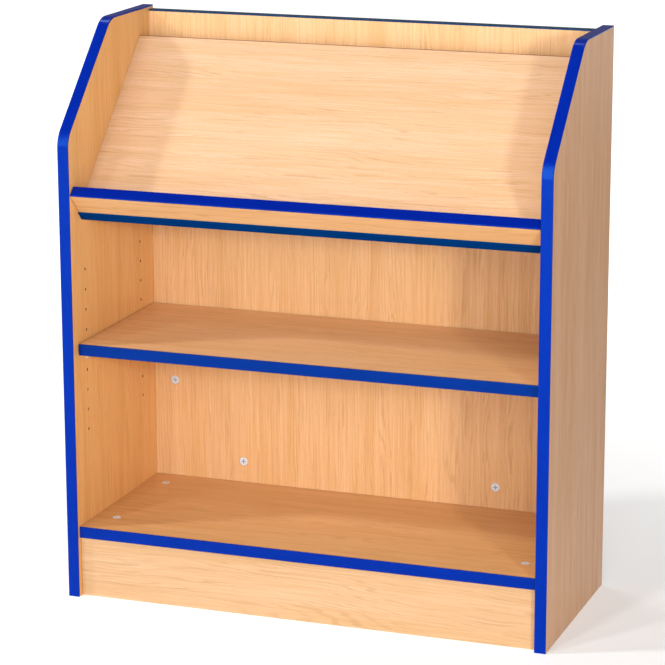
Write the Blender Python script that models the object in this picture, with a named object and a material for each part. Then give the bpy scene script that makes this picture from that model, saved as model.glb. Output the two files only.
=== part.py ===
"""Single-sided display bookcase for a school library.

Two shaped side panels carry a back panel, a base shelf on a plinth, one adjustable shelf and a sloping
display board with a book ledge. The boards are held by cam locks, dowels and screws.
Metres, +Z up. The origin is on the floor under the middle of the case, and the open front faces -Y.
"""
import math
from collections import namedtuple

import bmesh
import bpy
from mathutils import Matrix, Vector

# Overall size
WIDTH = 0.775
DEPTH = 0.330
HEIGHT = 0.890

# Sloped upper front edge of the side panels, and the rounding of its two corners
SLOPE_RUN = 0.1665
SLOPE_RISE = 0.162
CORNER_RADIUS = 0.040
CORNER_STEPS = 6

# Boards, their plastic edging, and the gap left between pieces that touch
BOARD = 0.018
EDGING = 0.002
EDGING_ROUND = 0.0012
ROUND_STEPS = 2
FIT = 0.0003

# Heights and setbacks of the boards
BASE_HEIGHT = 0.1132
BASE_SETBACK = 0.007
PLINTH_SETBACK = 0.0123
BACK_TOP_DROP = 0.0058
SHELF_SETBACK = 0.0175
SHELF_BACK_GAP = 0.002
SHELF_END_GAP = 0.0016

# Display board: its face lies this far inside the sloped edge of the sides
DISPLAY_INSET = 0.1067
DISPLAY_BACK_GAP = 0.0226
LEDGE_DEPTH = 0.0435
LEDGE_SETBACK = 0.001
LEDGE_END_GAP = 0.0012

# Two rows of shelf-pin holes in each side panel
PIN_PITCH = 0.032
PIN_COUNT = 9
PIN_DIAMETER = 0.005
PIN_HOLE_DEPTH = 0.010
PIN_CENTRE_HEIGHT = 0.3885
PIN_ROW_INSET = 0.051

# Shelf support: a plate on the side panel, a pad under the shelf and a rib under the pad
SUPPORT_WIDTH = 0.013
SUPPORT_REACH = 0.0115
SUPPORT_PAD = 0.0022
SUPPORT_SEAT_DROP = 0.0019
SUPPORT_PLATE_RISE = 0.0055
SUPPORT_RIB_DROP = 0.0085
SUPPORT_RIB = 0.0026

# Cam lock and its bolt
CAM_DIAMETER = 0.015
CAM_SINK = 0.0002
CAM_FLOOR = 0.0008
CAM_RIM = 0.0004
CAM_GRIP = 0.0046
CAM_RELEASE = 0.0054
CAM_TURN = math.radians(150)
CAM_REACH = 0.035
CAM_SIDES = 18
CROSS_LENGTH = 0.0078
CROSS_WIDTH = 0.0016
CROSS_DEPTH = 0.0024
BOLT_HEAD = 0.0066
BOLT_NECK = 0.0036
BOLT_SHANK = 0.0066
BOLT_BORE = 0.008
BOLT_COLLAR = 0.0017
BOLT_HOLE = 0.005
BOLT_HOLE_DEPTH = 0.012
BOLT_SIDES = 8
BALL_START = math.radians(150)
BALL_STEPS = 4
NECK_SLOT_STEPS = 8

# Places of the cam locks
BASE_CAM_FRONT = 0.071
BASE_CAM_REAR = 0.063
BACK_CAM_RISE = 0.163
BACK_CAM_DROP = 0.145
BACK_FOOT_CAM_END = 0.1545
SLOPE_CAM_ALONG = 0.100
PLINTH_CAM_HEIGHT = 0.064

# Wooden dowels
DOWEL_DIAMETER = 0.008
DOWEL_IN_FACE = 0.012
DOWEL_IN_END = 0.022
DOWEL_CHAMFER = 0.001
SLOPE_DOWEL_ALONG = 0.250
PLINTH_DOWEL_HEIGHT = 0.028
LEDGE_DOWEL_END = 0.230

# Countersunk screws through the display board into the ledge
SCREW_LENGTH = 0.040
SCREW_HEAD = 0.009
SCREW_SHANK = 0.0045
SCREW_LIP = 0.0006
SCREW_END = 0.090

# Sides of the faceted round holes, how far a cutter reaches past the face it enters, and the smoothing limit
HOLE_SIDES = 12
OVERCUT = 0.001
SHARP_ANGLE = math.radians(35)

# Planes and places that follow from the sizes above
FRONT = -DEPTH / 2
REAR = DEPTH / 2
INNER = WIDTH / 2 - BOARD
BACK_FACE = REAR - BOARD
BACK_TOP = HEIGHT - BACK_TOP_DROP
BASE_UNDERSIDE = BASE_HEIGHT - BOARD
EDGE_ROOM = EDGING + FIT
LEDGE_MIDDLE = EDGE_ROOM + BOARD / 2
KNEE_HEIGHT = HEIGHT - SLOPE_RISE
SLOPE_ANGLE = math.atan2(SLOPE_RISE, SLOPE_RUN)
SHELF_UNDERSIDE = PIN_CENTRE_HEIGHT - SUPPORT_SEAT_DROP + FIT
PIN_ROWS = {"front": FRONT + PIN_ROW_INSET, "rear": BACK_FACE - PIN_ROW_INSET}
SIDES = {"left": -1, "right": 1}

Fitting = namedtuple("Fitting", "name carrier receiver seat face toward")
Dowel = namedtuple("Dowel", "name carrier receiver seam toward")


def finish(name, colour, roughness, metallic=0.0):
    """A Principled material with one colour."""
    material = bpy.data.materials.new(name)
    material.use_nodes = True
    shader = material.node_tree.nodes["Principled BSDF"]
    shader.inputs["Base Color"].default_value = (*colour, 1.0)
    shader.inputs["Roughness"].default_value = roughness
    shader.inputs["Metallic"].default_value = metallic
    return material


def place(name, mesh, material, frame=None, parent=None):
    """Add a mesh as a named piece at a frame given in its parent's space."""
    piece = bpy.data.objects.new(name, mesh)
    bpy.context.scene.collection.objects.link(piece)
    if not mesh.materials:
        mesh.materials.append(material)
    piece.parent = parent
    piece.matrix_basis = frame or Matrix()
    bpy.context.view_layer.update()
    return piece


def mesh_from(form, name, smooth=False):
    """Turn a bmesh into a mesh with its faces pointing out, and free the bmesh."""
    bmesh.ops.recalc_face_normals(form, faces=form.faces)
    mesh = bpy.data.meshes.new(name)
    form.to_mesh(mesh)
    form.free()
    if smooth:
        mesh.shade_smooth()
        mesh.set_sharp_from_angle(angle=SHARP_ANGLE)
    return mesh


def board(name, low, high, material, parent=None):
    """A square-edged board between two corners, with its origin at its middle."""
    low, high = Vector(low), Vector(high)
    form = bmesh.new()
    bmesh.ops.create_cube(form, size=1.0)
    bmesh.ops.scale(form, vec=high - low, verts=form.verts)
    return place(name, mesh_from(form, name), material, Matrix.Translation((low + high) / 2), parent)


def prism(outline, low, high):
    """Extrude an outline of (x, y) points along Z from low to high."""
    form = bmesh.new()
    face = form.faces.new([form.verts.new((x, y, low)) for x, y in outline])
    raised = bmesh.ops.extrude_face_region(form, geom=[face])["geom"]
    tops = [item for item in raised if isinstance(item, bmesh.types.BMVert)]
    bmesh.ops.translate(form, verts=tops, vec=(0, 0, high - low))
    return form


def turned(profile, sides):
    """Spin a profile of (radius, height) points about Z and close its two ends."""
    form = bmesh.new()
    points = [form.verts.new((radius, 0, height)) for radius, height in profile]
    edges = [form.edges.new(pair) for pair in zip(points, points[1:])]
    bmesh.ops.spin(form, geom=points + edges, cent=(0, 0, 0), axis=(0, 0, 1),
                   angle=2 * math.pi, steps=sides, use_merge=True)
    bmesh.ops.holes_fill(form, edges=form.edges[:])
    return form


def arc(radius, start, end, steps):
    """Points on a circle about the origin from one angle to another."""
    angles = [start + (end - start) * step / steps for step in range(steps + 1)]
    return [(radius * math.cos(angle), radius * math.sin(angle)) for angle in angles]


def rounded_corner(before, corner, after, radius):
    """The arc that rounds one corner of an outline, from the side before it to the side after it."""
    before, corner, after = Vector(before), Vector(corner), Vector(after)
    inward = (before - corner).normalized()
    onward = (after - corner).normalized()
    half_angle = inward.angle(onward) / 2
    middle = corner + (inward + onward).normalized() * radius / math.sin(half_angle)
    start = corner + inward * radius / math.tan(half_angle) - middle
    sweep = start.angle_signed(corner + onward * radius / math.tan(half_angle) - middle)
    return [middle + Matrix.Rotation(-sweep * step / CORNER_STEPS, 2) @ start
            for step in range(CORNER_STEPS + 1)]


def side_edge(inset):
    """The (y, z) path of a side panel's top, slope and front, this far inside its outer edge."""
    sine, cosine = math.sin(SLOPE_ANGLE), math.cos(SLOPE_ANGLE)
    top = HEIGHT - inset
    front = FRONT + inset
    knee = (front, KNEE_HEIGHT - inset * (1 - sine) / cosine)
    brow = (FRONT + (inset + (top - KNEE_HEIGHT) * cosine) / sine, top)
    start, end = (REAR, top), (front, 0.0)
    radius = CORNER_RADIUS - inset
    return [start, *rounded_corner(start, brow, knee, radius), *rounded_corner(brow, knee, end, radius), end]


def straight_edge(length):
    """The path of a straight edging strip, as a function of the inset."""
    return lambda inset: [(inset, -length / 2), (inset, length / 2)]


def edging(name, path, material, frame=None, parent=None):
    """A plastic strip along a path, with its two outer arrises rounded."""
    half = BOARD / 2
    quarter = arc(EDGING_ROUND, 0, math.pi / 2, ROUND_STEPS)
    right = [(half - EDGING_ROUND + across, EDGING_ROUND - inset) for across, inset in quarter]
    left = [(-across, inset) for across, inset in reversed(right)]
    section = [(half, EDGING), *right, *left, (-half, EDGING)]
    rails = [[(across, y, z) for y, z in path(inset)] for across, inset in section]
    form = bmesh.new()
    rings = [[form.verts.new(point) for point in ring] for ring in zip(*rails)]
    for ring, following in zip(rings, rings[1:]):
        for index in range(len(ring)):
            form.faces.new((ring[index - 1], ring[index], following[index], following[index - 1]))
    form.faces.new(rings[0])
    form.faces.new(rings[-1])
    return place(name, mesh_from(form, name), material, frame, parent)


def axes_frame(origin, x_axis, y_axis):
    """A frame at a point, from its X and Y directions."""
    x_axis, y_axis = Vector(x_axis), Vector(y_axis)
    return Matrix.Translation(origin) @ Matrix((x_axis, y_axis, x_axis.cross(y_axis))).transposed().to_4x4()


def aim(direction):
    """A rotation that points Z along a direction."""
    return Vector(direction).to_track_quat("Z", "Y").to_matrix().to_4x4()


def cut(piece, form, name, operation="DIFFERENCE"):
    """Cut a shape out of a piece, or join it on, with a Boolean that stays on the piece."""
    tool = bpy.data.objects.new(name, mesh_from(form, name))
    tool.hide_render = True
    tool.display_type = "WIRE"
    bpy.context.scene.collection.objects.link(tool)
    modifier = piece.modifiers.new(name, "BOOLEAN")
    modifier.operation = operation
    modifier.solver = "EXACT"
    modifier.object = tool


def drill(piece, name, holes, sides=HOLE_SIDES):
    """Drill round holes, each given by its entry point, direction, depth and diameter."""
    form = bmesh.new()
    for entry, direction, depth, diameter in holes:
        direction = Vector(direction)
        length = depth + OVERCUT
        middle = Vector(entry) + direction * (depth - OVERCUT) / 2
        bmesh.ops.create_cone(form, cap_ends=True, segments=sides, radius1=diameter / 2,
                              radius2=diameter / 2, depth=length,
                              matrix=Matrix.Translation(middle) @ aim(direction))
    cut(piece, form, name)


def baked(pattern):
    """The finished mesh of a pattern piece, which is then taken away with its cutters."""
    bpy.context.view_layer.update()
    depsgraph = bpy.context.evaluated_depsgraph_get()
    mesh = bpy.data.meshes.new_from_object(pattern.evaluated_get(depsgraph))
    tools = [modifier.object for modifier in pattern.modifiers]
    for leftover in (pattern, *tools):
        bpy.data.objects.remove(leftover)
    mesh.shade_smooth()
    mesh.set_sharp_from_angle(angle=SHARP_ANGLE)
    return mesh


def cam_mesh(material):
    """The cam drum: a cross slot on top, a spiral hollow that draws in the bolt head, and its way in.

    Its origin is where its axis meets the board's face, +Z points out of the board and +X to the bolt.
    """
    radius = CAM_DIAMETER / 2 - FIT
    bolt_depth = BOARD / 2
    bottom = -bolt_depth - BOLT_HEAD / 2 - CAM_FLOOR
    hollow_top = -bolt_depth + BOLT_HEAD / 2 + FIT
    drum = turned([(radius - CAM_RIM, -CAM_SINK), (radius, -CAM_SINK - CAM_RIM), (radius, bottom)], CAM_SIDES)
    pattern = place("cam_pattern", mesh_from(drum, "cam_lock"), material)
    spiral = []
    for step in range(CAM_SIDES):
        angle = 2 * math.pi * step / CAM_SIDES
        opened = angle / CAM_TURN if angle < CAM_TURN else (2 * math.pi - angle) / (2 * math.pi - CAM_TURN)
        reach = CAM_GRIP + (CAM_RELEASE - CAM_GRIP) * opened
        spiral.append((reach * math.cos(angle), reach * math.sin(angle)))
    cut(pattern, prism(spiral, bottom - OVERCUT, hollow_top), "cam_hollow")
    head_room = BOLT_HEAD / 2 + FIT
    way_in = prism([(0, -head_room), (CAM_DIAMETER, -head_room), (CAM_DIAMETER, head_room), (0, head_room)],
                   bottom - OVERCUT, hollow_top)
    bmesh.ops.rotate(way_in, cent=(0, 0, 0), matrix=Matrix.Rotation(CAM_TURN, 3, "Z"), verts=way_in.verts)
    cut(pattern, way_in, "cam_way_in")
    neck_room = BOLT_NECK / 2 + FIT
    slack = math.asin(neck_room / CAM_GRIP)
    inner_arc = arc(BOLT_NECK, -slack, CAM_TURN, NECK_SLOT_STEPS)
    outer_arc = arc(CAM_DIAMETER, CAM_TURN, -slack, NECK_SLOT_STEPS)
    neck_slot = prism(inner_arc + outer_arc, -bolt_depth - neck_room, -bolt_depth + neck_room)
    cut(pattern, neck_slot, "cam_neck_slot")
    long, wide = CROSS_LENGTH / 2, CROSS_WIDTH / 2
    arm = [(long, -wide), (long, wide), (wide, wide)]
    cross = [Matrix.Rotation(math.pi / 2 * turn, 2) @ Vector(point) for turn in range(4) for point in arm]
    cut(pattern, prism(cross, -CAM_SINK - CROSS_DEPTH, OVERCUT), "cam_cross_slot")
    return baked(pattern)


def bolt_mesh():
    """The cam's bolt: ball head, neck, shank, collar and the thread's core.

    Its origin is on the cam's axis, and +Z points along the bolt into the board that it is screwed to.
    """
    head = BOLT_HEAD / 2
    neck = BOLT_NECK / 2
    centre = CAM_GRIP - FIT - head
    neck_angle = math.asin(neck / head)
    ball = arc(head, BALL_START, neck_angle, BALL_STEPS)
    neck_end = CAM_DIAMETER / 2
    shank = BOLT_SHANK / 2
    collar = BOLT_BORE / 2 - FIT
    thread = BOLT_HOLE / 2 - FIT
    tip = CAM_REACH + BOLT_HOLE_DEPTH - FIT
    profile = [(across, centre + along) for along, across in ball]
    profile += [(neck, neck_end), (shank, neck_end + shank - neck), (shank, CAM_REACH - BOLT_COLLAR - FIT),
                (collar, CAM_REACH - BOLT_COLLAR - FIT), (collar, CAM_REACH - FIT), (thread, CAM_REACH - FIT),
                (thread, tip - thread), (thread / 2, tip)]
    return mesh_from(turned(profile, BOLT_SIDES), "cam_bolt", smooth=True)


def support_mesh(material):
    """The shelf support: plate, pad, rib and the pin that pushes into the side panel.

    Its origin is where the pin enters the side panel, +X points into the case and +Z up.
    """
    plate = SHELF_END_GAP - FIT
    seat = -SUPPORT_SEAT_DROP
    under = seat - SUPPORT_PAD
    foot = under - SUPPORT_RIB_DROP
    bracket = [(FIT, foot), (plate, foot), (plate, under), (SUPPORT_REACH, under), (SUPPORT_REACH, seat),
               (plate, seat), (plate, SUPPORT_PLATE_RISE), (FIT, SUPPORT_PLATE_RISE)]
    upright = Matrix.Rotation(math.pi / 2, 3, "X")
    body = prism(bracket, -SUPPORT_WIDTH / 2, SUPPORT_WIDTH / 2)
    bmesh.ops.rotate(body, cent=(0, 0, 0), matrix=upright, verts=body.verts)
    pattern = place("support_pattern", mesh_from(body, "shelf_support"), material)
    middle = (FIT + plate) / 2
    rib_top = under + SUPPORT_PAD / 2
    rib_tip = SUPPORT_REACH - SUPPORT_PAD
    rib = prism([(middle, foot + SUPPORT_PAD / 2), (rib_tip, under), (rib_tip, rib_top), (middle, rib_top)],
                -SUPPORT_RIB / 2, SUPPORT_RIB / 2)
    bmesh.ops.rotate(rib, cent=(0, 0, 0), matrix=upright, verts=rib.verts)
    cut(pattern, rib, "support_rib", "UNION")
    radius = PIN_DIAMETER / 2 - FIT
    tip = FIT - PIN_HOLE_DEPTH
    pin = turned([(radius, middle), (radius, tip + radius / 2), (radius / 2, tip)], HOLE_SIDES)
    bmesh.ops.rotate(pin, cent=(0, 0, 0), matrix=Matrix.Rotation(math.pi / 2, 3, "Y"), verts=pin.verts)
    cut(pattern, pin, "support_pin", "UNION")
    return baked(pattern)


def dowel_mesh():
    """A dowel with chamfered ends. Its origin is at the seam, and +Z points into the panel's face."""
    radius = DOWEL_DIAMETER / 2 - FIT
    low, high = FIT - DOWEL_IN_END, DOWEL_IN_FACE - FIT
    profile = [(radius - DOWEL_CHAMFER, low), (radius, low + DOWEL_CHAMFER),
               (radius, high - DOWEL_CHAMFER), (radius - DOWEL_CHAMFER, high)]
    return mesh_from(turned(profile, HOLE_SIDES), "dowel", smooth=True)


def screw_form(clearance, start):
    """A countersunk screw, or with a clearance the hole for it. Its head's face is at Z = 0."""
    head, shank = SCREW_HEAD / 2 + clearance, SCREW_SHANK / 2 + clearance
    cone_end = SCREW_LIP + head - shank
    tip = SCREW_LENGTH + clearance
    profile = [(head, start), (head, SCREW_LIP), (shank, cone_end), (shank, tip - shank), (shank / 2, tip)]
    return turned(profile, HOLE_SIDES)


def side_panel(name, side, board_material, edging_material):
    """One side panel with its edging."""
    middle = side * (WIDTH - BOARD) / 2
    across = axes_frame((middle, 0, 0), (0, 1, 0), (0, 0, 1))
    outline = [*side_edge(EDGE_ROOM), (REAR, 0.0)]
    core = prism([tuple(point) for point in outline], -BOARD / 2, BOARD / 2)
    panel = place(f"{name}_side_panel", mesh_from(core, f"{name}_side_panel"), board_material, across)
    edging(f"{name}_side_edging", side_edge, edging_material, Matrix.Translation((middle, 0, 0)))
    return panel


def front_edging(name, length, middle, material, parent=None):
    """Edging on a board's front: across runs up Z and the inset runs back along Y."""
    frame = axes_frame(middle, (0, 0, 1), (0, 1, 0))
    return edging(name, straight_edge(length), material, frame, parent)


def rear_edging(name, length, middle, material, parent=None):
    """Edging on a board's rear: across runs up Z and the inset runs forward along -Y."""
    frame = axes_frame(middle, (0, 0, 1), (0, -1, 0))
    return edging(name, straight_edge(length), material, frame, parent)


def top_edging(name, length, middle, material, parent=None):
    """Edging on a board's top: across runs along Y and the inset runs down Z."""
    frame = axes_frame(middle, (0, 1, 0), (0, 0, -1))
    return edging(name, straight_edge(length), material, frame, parent)


def display_frame():
    """The frame at the lower end of the display board's face: Y runs up the slope, Z out of its face."""
    sine, cosine = math.sin(SLOPE_ANGLE), math.cos(SLOPE_ANGLE)
    y = FRONT + LEDGE_SETBACK + LEDGE_DEPTH * sine - EDGE_ROOM * cosine
    z = KNEE_HEIGHT + ((y - FRONT) * sine - DISPLAY_INSET) / cosine
    length = (BACK_FACE - DISPLAY_BACK_GAP - BOARD * sine - y) / cosine
    return Matrix.Translation((0, y, z)) @ Matrix.Rotation(SLOPE_ANGLE, 4, "X"), length


def cam_fittings(pieces, display):
    """Every cam lock: the board that holds it, the one its bolt is screwed to, and where it sits."""
    fittings = []
    up, front, rear = Vector((0, 0, 1)), Vector((0, -1, 0)), Vector((0, 1, 0))
    under = -display.to_3x3().col[2]
    base, back = pieces["base_shelf"], pieces["back_panel"]
    for name, side in SIDES.items():
        panel = pieces[f"{name}_side_panel"]
        toward = Vector((side, 0, 0))
        x = side * (INNER - CAM_REACH)
        for row, y in (("front", FRONT + BASE_CAM_FRONT), ("rear", REAR - BASE_CAM_REAR)):
            seat = Vector((x, y, BASE_HEIGHT))
            fittings.append(Fitting(f"base_{{}}_{name}_{row}", base, panel, seat, up, toward))
        for row, z in (("low", BASE_HEIGHT + BACK_CAM_RISE), ("high", BACK_TOP - BACK_CAM_DROP)):
            seat = Vector((x, BACK_FACE, z))
            fittings.append(Fitting(f"back_{{}}_{name}_{row}", back, panel, seat, front, toward))
        seat = Vector((side * (INNER - BACK_FOOT_CAM_END), BACK_FACE, BASE_HEIGHT + CAM_REACH))
        fittings.append(Fitting(f"back_foot_{{}}_{name}", back, base, seat, front, -up))
        seat = display @ Vector((x, SLOPE_CAM_ALONG, -BOARD))
        fittings.append(Fitting(f"slope_{{}}_{name}", pieces["display_slope"], panel, seat, under, toward))
        seat = Vector((x, FRONT + PLINTH_SETBACK + BOARD, PLINTH_CAM_HEIGHT))
        fittings.append(Fitting(f"plinth_{{}}_{name}", pieces["plinth"], panel, seat, rear, toward))
    return fittings


def dowels(pieces, display):
    """Every dowel: the board whose end or edge it is in, the one whose face it is in, and its seam."""
    pegs = []
    into_slope = -display.to_3x3().col[2]
    slope, ledge = pieces["display_slope"], pieces["display_ledge"]
    for name, side in SIDES.items():
        panel = pieces[f"{name}_side_panel"]
        toward = Vector((side, 0, 0))
        seam = display @ Vector((side * INNER, SLOPE_DOWEL_ALONG, -BOARD / 2))
        pegs.append(Dowel(f"slope_dowel_{name}", slope, panel, seam, toward))
        seam = Vector((side * INNER, FRONT + PLINTH_SETBACK + BOARD / 2, PLINTH_DOWEL_HEIGHT))
        pegs.append(Dowel(f"plinth_dowel_{name}", pieces["plinth"], panel, seam, toward))
        seam = display @ Vector((side * (INNER - LEDGE_DOWEL_END), LEDGE_MIDDLE, 0))
        pegs.append(Dowel(f"ledge_dowel_{name}", ledge, slope, seam, into_slope))
    return pegs


def add_cam_locks(fittings, zinc, steel):
    """Drill the boards for the cam locks and put the cams and bolts in."""
    cam, bolt = cam_mesh(zinc), bolt_mesh()
    bore_depth = BOARD / 2 + BOLT_HEAD / 2 + CAM_FLOOR + FIT
    cam_bores, bolt_bores, bolt_holes = {}, {}, {}
    for fit in fittings:
        middle = fit.seat - fit.face * BOARD / 2
        seam = middle + fit.toward * CAM_REACH
        cam_bores.setdefault(fit.carrier, []).append((fit.seat, -fit.face, bore_depth, CAM_DIAMETER))
        bolt_bores.setdefault(fit.carrier, []).append((middle, fit.toward, CAM_REACH, BOLT_BORE))
        bolt_holes.setdefault(fit.receiver, []).append((seam, fit.toward, BOLT_HOLE_DEPTH, BOLT_HOLE))
        side_axis = fit.face.cross(fit.toward)
        place(fit.name.format("cam"), cam, zinc, axes_frame(fit.seat, fit.toward, side_axis))
        place(fit.name.format("bolt"), bolt, steel, axes_frame(middle, fit.face, -side_axis))
    for piece, holes in cam_bores.items():
        drill(piece, f"{piece.name}_cam_bores", holes, CAM_SIDES)
    for piece, holes in bolt_bores.items():
        drill(piece, f"{piece.name}_bolt_bores", holes)
    for piece, holes in bolt_holes.items():
        drill(piece, f"{piece.name}_bolt_holes", holes)


def add_dowels(pegs, wood):
    """Drill the boards for the dowels and put them in."""
    peg_mesh = dowel_mesh()
    holes = {}
    for peg in pegs:
        holes.setdefault(peg.carrier, []).append((peg.seam, -peg.toward, DOWEL_IN_END, DOWEL_DIAMETER))
        holes.setdefault(peg.receiver, []).append((peg.seam, peg.toward, DOWEL_IN_FACE, DOWEL_DIAMETER))
        place(peg.name, peg_mesh, wood, Matrix.Translation(peg.seam) @ aim(peg.toward))
    for piece, drilled in holes.items():
        drill(piece, f"{piece.name}_dowel_holes", drilled)


def add_ledge_screws(pieces, display, steel):
    """Cut the screw holes through the display board into the ledge and put the screws in."""
    screw = mesh_from(screw_form(0, FIT), "ledge_screw", smooth=True)
    spots = {"left": SCREW_END - INNER, "middle": 0.0, "right": INNER - SCREW_END}
    frames = {name: display @ Matrix.Translation((x, LEDGE_MIDDLE, -BOARD)) for name, x in spots.items()}
    for board_name in ("display_slope", "display_ledge"):
        for name, frame in frames.items():
            hole = screw_form(FIT, -OVERCUT)
            hole.transform(frame)
            cut(pieces[board_name], hole, f"{board_name}_screw_hole_{name}")
    for name, frame in frames.items():
        place(f"ledge_screw_{name}", screw, steel, frame)


def add_shelf_supports(pieces, plastic):
    """Drill the rows of pin holes and push in the four supports at the middle holes."""
    support = support_mesh(plastic)
    lowest = PIN_CENTRE_HEIGHT - PIN_PITCH * (PIN_COUNT - 1) / 2
    heights = [lowest + PIN_PITCH * step for step in range(PIN_COUNT)]
    for name, side in SIDES.items():
        into_case = (-side, 0, 0)
        drill(pieces[f"{name}_side_panel"], f"{name}_pin_holes",
              [((side * INNER, y, z), (side, 0, 0), PIN_HOLE_DEPTH, PIN_DIAMETER)
               for y in PIN_ROWS.values() for z in heights])
        for row, y in PIN_ROWS.items():
            spot = (side * INNER, y, PIN_CENTRE_HEIGHT)
            place(f"shelf_support_{name}_{row}", support, plastic, axes_frame(spot, into_case, (0, -side, 0)))


def build():
    """Make every board, then the fixings that hold the boards together."""
    for leftover in list(bpy.data.objects):
        bpy.data.objects.remove(leftover)

    beech = finish("beech_melamine", (0.62, 0.37, 0.16), 0.45)
    blue = finish("blue_plastic_edging", (0.005, 0.03, 0.48), 0.35)
    brown = finish("beech_plastic_edging", (0.44, 0.25, 0.12), 0.40)
    zinc = finish("die_cast_zinc", (0.62, 0.61, 0.58), 0.35, 1.0)
    steel = finish("zinc_plated_steel", (0.66, 0.66, 0.64), 0.30, 1.0)
    plastic = finish("pale_nylon", (0.75, 0.73, 0.68), 0.40)
    wood = finish("beech_dowel", (0.60, 0.42, 0.25), 0.70)

    pieces = {f"{name}_side_panel": side_panel(name, side, beech, blue) for name, side in SIDES.items()}

    half_span = INNER - FIT
    span = 2 * half_span
    pieces["back_panel"] = board("back_panel", (-half_span, BACK_FACE, BASE_HEIGHT + FIT),
                                 (half_span, REAR, BACK_TOP - EDGE_ROOM), beech)
    top_edging("back_top_edging", span, (0, REAR - BOARD / 2, BACK_TOP), blue)

    base_front = FRONT + BASE_SETBACK
    pieces["base_shelf"] = board("base_shelf", (-half_span, base_front + EDGE_ROOM, BASE_UNDERSIDE),
                                 (half_span, REAR, BASE_HEIGHT), beech)
    front_edging("base_shelf_edging", span, (0, base_front, BASE_HEIGHT - BOARD / 2), blue)

    plinth_front = FRONT + PLINTH_SETBACK
    pieces["plinth"] = board("plinth", (-half_span, plinth_front, 0.0),
                             (half_span, plinth_front + BOARD, BASE_UNDERSIDE - FIT), beech)

    shelf_half = INNER - SHELF_END_GAP - FIT
    shelf_front = FRONT + SHELF_SETBACK
    shelf = board("adjustable_shelf", (-shelf_half, shelf_front + EDGE_ROOM, SHELF_UNDERSIDE),
                  (shelf_half, BACK_FACE - SHELF_BACK_GAP, SHELF_UNDERSIDE + BOARD), beech)
    edge_middle = shelf.matrix_world.inverted() @ Vector((0, shelf_front, SHELF_UNDERSIDE + BOARD / 2))
    front_edging("adjustable_shelf_edging", 2 * shelf_half, edge_middle, blue, shelf)

    display, slope_length = display_frame()
    carrier = bpy.data.objects.new("display_frame", None)
    bpy.context.scene.collection.objects.link(carrier)
    carrier.matrix_world = display
    pieces["display_slope"] = board("display_slope", (-half_span, EDGE_ROOM, -BOARD),
                                    (half_span, slope_length - EDGE_ROOM, 0.0), beech, carrier)
    front_edging("display_slope_edging", span, (0, 0, -BOARD / 2), blue, carrier)
    rear_edging("display_slope_top_edging", span, (0, slope_length, -BOARD / 2), brown, carrier)
    ledge_half = INNER - LEDGE_END_GAP
    pieces["display_ledge"] = board("display_ledge", (-ledge_half, EDGE_ROOM, FIT),
                                    (ledge_half, EDGE_ROOM + BOARD, LEDGE_DEPTH - EDGE_ROOM), beech, carrier)
    top_edging("display_ledge_edging", 2 * ledge_half, (0, LEDGE_MIDDLE, LEDGE_DEPTH), blue, carrier)

    add_cam_locks(cam_fittings(pieces, display), zinc, steel)
    add_dowels(dowels(pieces, display), wood)
    add_ledge_screws(pieces, display, steel)
    add_shelf_supports(pieces, plastic)


build()
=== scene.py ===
"""Looks of a single-sided display bookcase: beech-effect boards, blue plastic edging and its fittings.

Lengths are in metres, and a name that ends in _MM is in millimetres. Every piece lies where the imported
model has it, with its place in its mesh.
"""
import math
import bmesh
import bpy
import numpy as np
from mathutils import Matrix, Vector


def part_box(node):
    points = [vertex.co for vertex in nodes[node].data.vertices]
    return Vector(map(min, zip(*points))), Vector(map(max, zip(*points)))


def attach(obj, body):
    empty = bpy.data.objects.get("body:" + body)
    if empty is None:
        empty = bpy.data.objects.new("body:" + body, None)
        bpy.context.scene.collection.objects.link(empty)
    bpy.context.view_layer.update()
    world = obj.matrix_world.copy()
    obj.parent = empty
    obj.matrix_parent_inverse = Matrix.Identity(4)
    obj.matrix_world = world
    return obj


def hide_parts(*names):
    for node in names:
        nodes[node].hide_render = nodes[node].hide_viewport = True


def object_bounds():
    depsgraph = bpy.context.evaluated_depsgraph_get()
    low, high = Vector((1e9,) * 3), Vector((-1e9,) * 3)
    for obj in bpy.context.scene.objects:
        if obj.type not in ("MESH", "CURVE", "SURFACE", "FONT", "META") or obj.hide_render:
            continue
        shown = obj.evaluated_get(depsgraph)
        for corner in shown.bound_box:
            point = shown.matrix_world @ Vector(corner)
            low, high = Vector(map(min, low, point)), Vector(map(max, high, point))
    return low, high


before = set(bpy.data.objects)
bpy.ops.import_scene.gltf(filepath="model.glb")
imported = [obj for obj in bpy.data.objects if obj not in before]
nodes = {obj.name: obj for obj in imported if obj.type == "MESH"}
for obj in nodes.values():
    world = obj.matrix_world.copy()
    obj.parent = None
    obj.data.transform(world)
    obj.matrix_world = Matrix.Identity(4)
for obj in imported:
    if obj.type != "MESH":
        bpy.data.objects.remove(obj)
cad_low, cad_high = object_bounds()

# Case and edging, as the model has them
BOARD = 0.018
EDGING = 0.002
EDGING_ROUND = 0.0012
EDGING_FLAT_LOOP = 0.96
JOINT_GAP = 0.0003
SLOPE_RUN = 0.1665
SLOPE_RISE = 0.162
CORNER_RADIUS = 0.040
FRONT, REAR = cad_low.y, cad_high.y
TOP = cad_high.z
SLOPE_ANGLE = math.atan2(SLOPE_RISE, SLOPE_RUN)
UP_SLOPE = Vector((0, math.cos(SLOPE_ANGLE), math.sin(SLOPE_ANGLE)))
SLOPE_FACE = Vector((0, -math.sin(SLOPE_ANGLE), math.cos(SLOPE_ANGLE)))
RIGHT, BACK, UP = Vector((1, 0, 0)), Vector((0, 1, 0)), Vector((0, 0, 1))
SIDES = {"left": -RIGHT, "right": RIGHT}

# Steps along the edging, and the angles in degrees above which an edge stays sharp
LINE_STEPS, ARC_STEPS, RAIL_STEPS, ROUND_STEPS = 40, 33, 60, 9
EDGING_CREASE, CAM_CREASE, SCREW_CREASE = 50, 35, 40

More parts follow.
